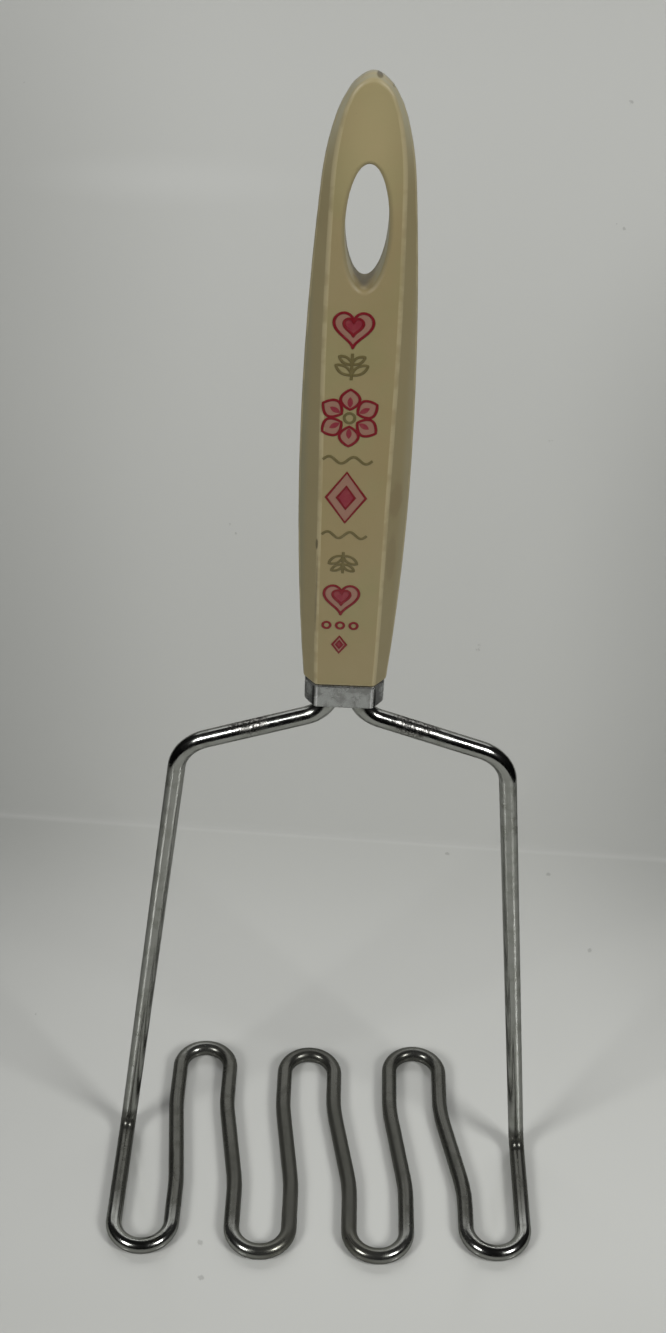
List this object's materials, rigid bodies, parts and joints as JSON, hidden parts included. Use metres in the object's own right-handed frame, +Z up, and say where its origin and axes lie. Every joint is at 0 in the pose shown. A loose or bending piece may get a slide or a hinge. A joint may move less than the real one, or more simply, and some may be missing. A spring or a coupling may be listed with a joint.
{
  "type": "potato masher",
  "caption": "Potato masher: flat serpentine wire head on a splayed wire frame, octagonal moulded plastic handle with an oval hang hole and a metal ferrule.",
  "frame": {"origin": "on the table, in the middle of the head's footprint and under the handle's axis", "axes": "+Z up along the handle, -Y towards the printed front face, +X to the right of someone who looks at that face"},
  "size_m": [0.0978, 0.0635, 0.2574],
  "materials": {
    "handle_plastic": "aged ivory moulded plastic with a soft gloss and a printed ornament on the front face",
    "ferrule_chrome": "thin bright plated sheet metal, hazed by wear",
    "wire_chrome": "bright plated steel wire with small rough patches in the plating"
  },
  "bodies": {
    "root": {"handle": "handle_plastic", "ferrule": "ferrule_chrome", "masher_wire": "wire_chrome"}
  },
  "joints": []
}
